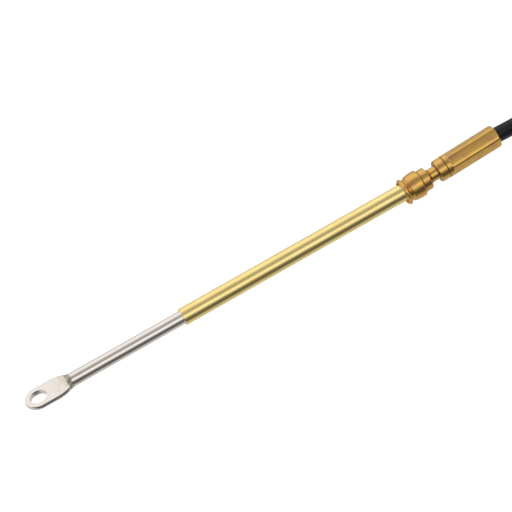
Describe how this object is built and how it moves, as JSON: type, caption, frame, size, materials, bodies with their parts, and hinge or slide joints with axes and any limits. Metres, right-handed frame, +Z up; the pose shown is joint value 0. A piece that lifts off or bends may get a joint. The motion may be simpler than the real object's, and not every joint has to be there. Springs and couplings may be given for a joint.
{
  "type": "boat control cable",
  "caption": "Push-pull boat control cable: rods with flat pierced eyes slide in sleeve tubes that swivel in crimped brass hubs, joined by a black jacketed cable stored as a tied hank.",
  "frame": {"origin": "middle of the underside of the near end (rod, sleeve and hub), where the hub rests on the floor", "axes": "+X along the near rod and sleeve from the eye towards the hub, +Z up and square to the eye's flat, +Y to the left of that"},
  "size_m": [0.6414, 0.0707, 0.0171],
  "materials": {
    "stainless_rod": "bright drawn stainless steel, slightly warm",
    "yellow_sleeve": "pale yellow plated tube, satin",
    "hub_brass": "turned and crimped brass, polished, with darker bronze and copper tints",
    "black_jacket": "black extruded plastic jacket, satin",
    "tie_nylon": "black nylon, slightly glossy"
  },
  "bodies": {
    "cable": {"crimp_hub": "hub_brass", "jacket_lead": "black_jacket", "jacket_hank": "black_jacket", "jacket_tail": "black_jacket", "hank_tie_1": "tie_nylon", "hank_tie_2": "tie_nylon", "far_crimp_hub": "hub_brass"},
    "sleeve": {"sleeve_tube": "yellow_sleeve"},
    "rod": {"rod_eye": "stainless_rod"},
    "far_sleeve": {"far_sleeve_tube": "yellow_sleeve"},
    "far_rod": {"far_rod_eye": "stainless_rod"}
  },
  "joints": [
    {"name": "sleeve_swivel", "type": "hinge", "parent": "cable", "child": "sleeve", "pos_m": [0.07667, -0.00058, 0.0062], "axis": [0, 0, 1], "range_deg": [-3.4, 10.6]},
    {"name": "rod_slide", "type": "slide", "parent": "sleeve", "child": "rod", "axis": [-1, 0, 0], "range_m": [-0.0517, 0.0245]},
    {"name": "far_swivel", "type": "hinge", "parent": "cable", "child": "far_sleeve", "pos_m": [0.35329, 0.00329, 0.0062], "axis": [0, 0, 1], "range_deg": [-7, 7]},
    {"name": "far_rod_slide", "type": "slide", "parent": "far_sleeve", "child": "far_rod", "axis": [1, 0, 0], "range_m": [-0.0245, 0.0517]}
  ],
  "couplings": [
    {"joint": "far_rod_slide", "follows": "rod_slide", "ratio": -1}
  ]
}
